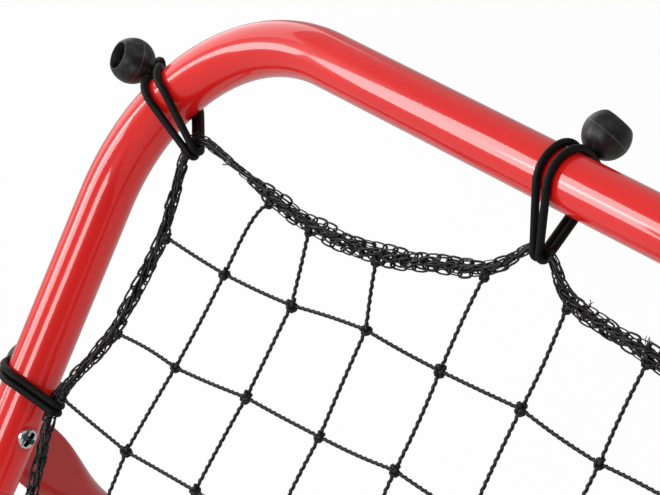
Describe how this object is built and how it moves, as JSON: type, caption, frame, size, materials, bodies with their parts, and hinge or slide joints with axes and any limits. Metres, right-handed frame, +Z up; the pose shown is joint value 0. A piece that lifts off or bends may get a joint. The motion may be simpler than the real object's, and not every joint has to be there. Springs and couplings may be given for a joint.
{
  "type": "hockey goal net",
  "caption": "Leaning steel-tube goal frame with a taut knotted net tied in by ball bungees and a folding rear stand.",
  "frame": {"origin": "on the ground, midway between the front and rear pads and between the posts", "axes": "+X along the bottom bar, +Y from the net's face to the rear stand, +Z up"},
  "size_m": [1.4284, 0.9538, 0.9583],
  "materials": {
    "red_tube": "gloss red powder coat",
    "zinc_steel": "bright zinc plate",
    "nylon": "black nylon",
    "ball_plastic": "moulded, satin",
    "cord": "braided elastic cord",
    "rope": "knitted rope",
    "twine": "twisted, knotted twine",
    "webbing": "woven webbing",
    "pad_rubber": "matt"
  },
  "bodies": {
    "front_frame": {"border_rope": "rope", "bottom_joint_screw": "zinc_steel", "bungee_ball_01": "ball_plastic", "bungee_ball_02": "ball_plastic", "bungee_ball_03": "ball_plastic", "bungee_ball_04": "ball_plastic", "bungee_ball_05": "ball_plastic", "bungee_ball_06": "ball_plastic", "bungee_ball_07": "ball_plastic", "bungee_ball_08": "ball_plastic", "bungee_ball_09": "ball_plastic", "bungee_ball_10": "ball_plastic", "bungee_ball_11": "ball_plastic", "bungee_ball_12": "ball_plastic", "bungee_ball_13": "ball_plastic", "bungee_ball_14": "ball_plastic", "bungee_ball_15": "ball_plastic", "bungee_ball_16": "ball_plastic", "bungee_cord_01": "cord", "bungee_cord_02": "cord", "bungee_cord_03": "cord", "bungee_cord_04": "cord", "bungee_cord_05": "cord", "bungee_cord_06": "cord", "bungee_cord_07": "cord", "bungee_cord_08": "cord", "bungee_cord_09": "cord", "bungee_cord_10": "cord", "bungee_cord_11": "cord", "bungee_cord_12": "cord", "bungee_cord_13": "cord", "bungee_cord_14": "cord", "bungee_cord_15": "cord", "bungee_cord_16": "cord", "front_pad_left": "pad_rubber", "front_pad_right": "pad_rubber", "front_strap_screws": "zinc_steel", "front_strap_washers": "zinc_steel", "lower_left_tube": "red_tube", "lower_right_tube": "red_tube", "net_mesh": "twine", "pivot_nut_left": "zinc_steel", "pivot_nut_right": "zinc_steel", "pivot_screw_left": "zinc_steel", "pivot_screw_right": "zinc_steel", "pivot_spacer_left": "nylon", "pivot_spacer_right": "nylon", "spreader_strap_left": "webbing", "spreader_strap_right": "webbing", "top_joint_screw": "zinc_steel", "upper_left_tube": "red_tube", "upper_right_tube": "red_tube"},
    "rear_stand": {"rear_joint_screw": "zinc_steel", "rear_leg_left": "red_tube", "rear_leg_right": "red_tube", "rear_pad_left": "pad_rubber", "rear_pad_right": "pad_rubber", "rear_strap_screws": "zinc_steel", "rear_strap_washers": "zinc_steel"}
  },
  "joints": [
    {"name": "stand_fold", "type": "hinge", "parent": "front_frame", "child": "rear_stand", "pos_m": [0, -0.08802, 0.68856], "axis": [-1, 0, 0], "range_deg": [0, 57], "deforming": ["spreader_strap_left", "spreader_strap_right"]}
  ]
}
